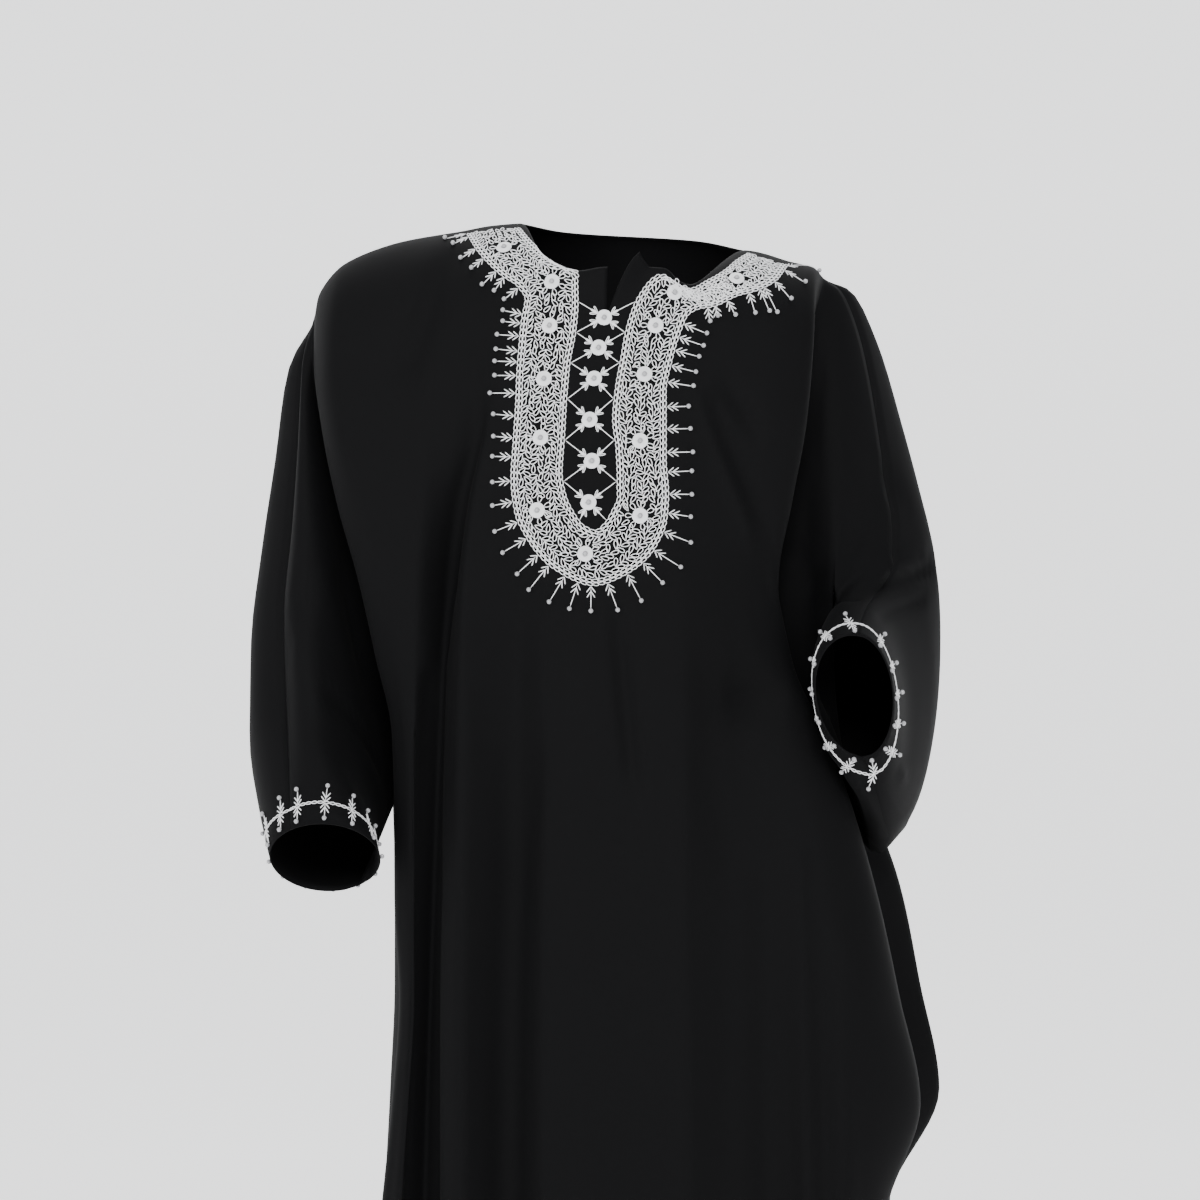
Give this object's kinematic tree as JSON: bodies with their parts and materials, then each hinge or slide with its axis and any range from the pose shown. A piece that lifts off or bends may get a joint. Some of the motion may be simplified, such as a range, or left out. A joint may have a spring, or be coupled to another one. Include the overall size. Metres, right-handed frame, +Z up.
{
  "type": "kaftan dress",
  "caption": "Long loose black kaftan dress cut in one with wide sleeves, with an embroidered band round the neck slit and down the chest",
  "frame": {"origin": "middle of the neck at the height where the shoulders carry the dress", "axes": "+Z up from hem to neck, front towards -Y, +X towards the wearer's left"},
  "size_m": [0.6457, 0.2684, 1.4411],
  "materials": {
    "cloth": "soft crepe",
    "embroidery": "silky white thread"
  },
  "bodies": {
    "root": {"front_panel": "cloth", "back_panel": "cloth", "neck_band": "embroidery"}
  },
  "joints": []
}
